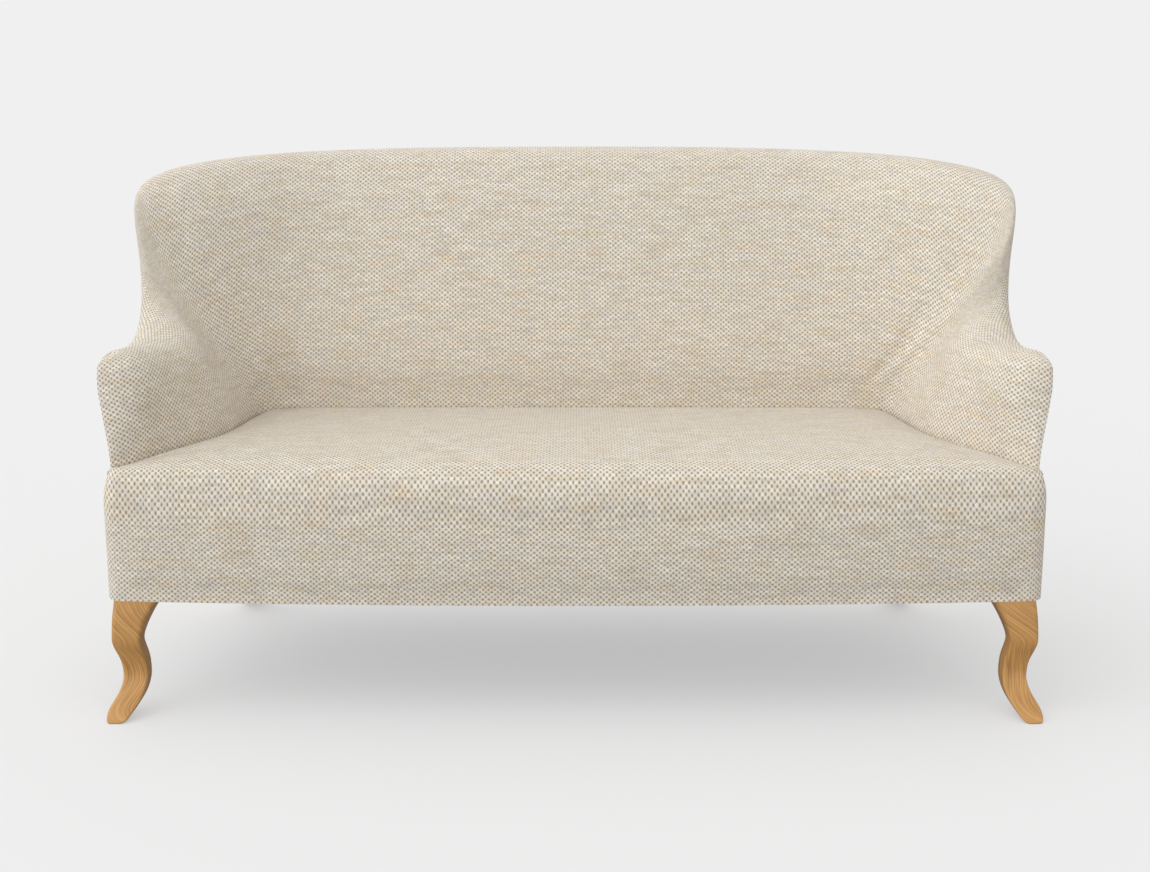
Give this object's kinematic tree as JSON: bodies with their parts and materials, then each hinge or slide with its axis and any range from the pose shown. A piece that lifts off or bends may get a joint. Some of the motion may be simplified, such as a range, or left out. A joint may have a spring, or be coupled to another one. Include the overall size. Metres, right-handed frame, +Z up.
{
  "type": "high back settee",
  "caption": "High back upholstered settee with one fixed T-shaped seat, sweeping arms, a curved waisted back with rolled top edge, and curved oak legs.",
  "frame": {"origin": "middle of the bounding box on the floor", "axes": "+Z up, the sitter looks along -Y, +X to the right in a view from the front"},
  "size_m": [1.75, 0.7808, 1.0054],
  "materials": {
    "cover_cloth": "cream basket weave upholstery cloth, matte",
    "foam": "open-cell foam, matte",
    "hessian": "woven jute hessian",
    "dust_cloth": "black bonded dust cloth",
    "webbing": "rubberised webbing, matte",
    "spring_steel": "drawn spring wire",
    "bolt_steel": "zinc plated",
    "frame_timber": "planed beech, unfinished",
    "oak": "honey oak, satin lacquer"
  },
  "bodies": {
    "root": {"seat_cover": "cover_cloth", "back_cover": "cover_cloth", "arm_cover_left": "cover_cloth", "arm_cover_right": "cover_cloth", "outer_side_left": "cover_cloth", "outer_side_right": "cover_cloth", "outer_back": "cover_cloth", "seat_foam": "foam", "back_foam": "foam", "arm_foam_left": "foam", "arm_foam_right": "foam", "front_padding": "foam", "seat_hessian": "hessian", "dust_cover": "dust_cloth", "back_strap_1": "webbing", "back_strap_2": "webbing", "back_strap_3": "webbing", "back_strap_4": "webbing", "back_strap_5": "webbing", "seat_spring_1": "spring_steel", "seat_spring_2": "spring_steel", "seat_spring_3": "spring_steel", "seat_spring_4": "spring_steel", "seat_spring_5": "spring_steel", "seat_spring_6": "spring_steel", "front_rail": "frame_timber", "rear_rail": "frame_timber", "spring_bearer": "frame_timber", "centre_rail": "frame_timber", "back_top_rail": "frame_timber", "back_tack_rail": "frame_timber", "side_rail_left": "frame_timber", "side_rail_right": "frame_timber", "corner_block_front_left": "frame_timber", "corner_block_front_right": "frame_timber", "corner_block_rear_left": "frame_timber", "corner_block_rear_right": "frame_timber", "back_post_left": "frame_timber", "back_post_right": "frame_timber", "wing_post_left": "frame_timber", "wing_post_right": "frame_timber", "arm_post_left": "frame_timber", "arm_post_right": "frame_timber", "wing_rail_left": "frame_timber", "wing_rail_right": "frame_timber", "arm_top_rail_left": "frame_timber", "arm_top_rail_right": "frame_timber", "arm_tack_rail_left": "frame_timber", "arm_tack_rail_right": "frame_timber", "front_leg_left": "oak", "front_leg_right": "oak", "rear_leg_left": "oak", "rear_leg_right": "oak", "leg_bolt_front_left": "bolt_steel", "leg_bolt_front_right": "bolt_steel", "leg_bolt_rear_left": "bolt_steel", "leg_bolt_rear_right": "bolt_steel"}
  },
  "joints": []
}
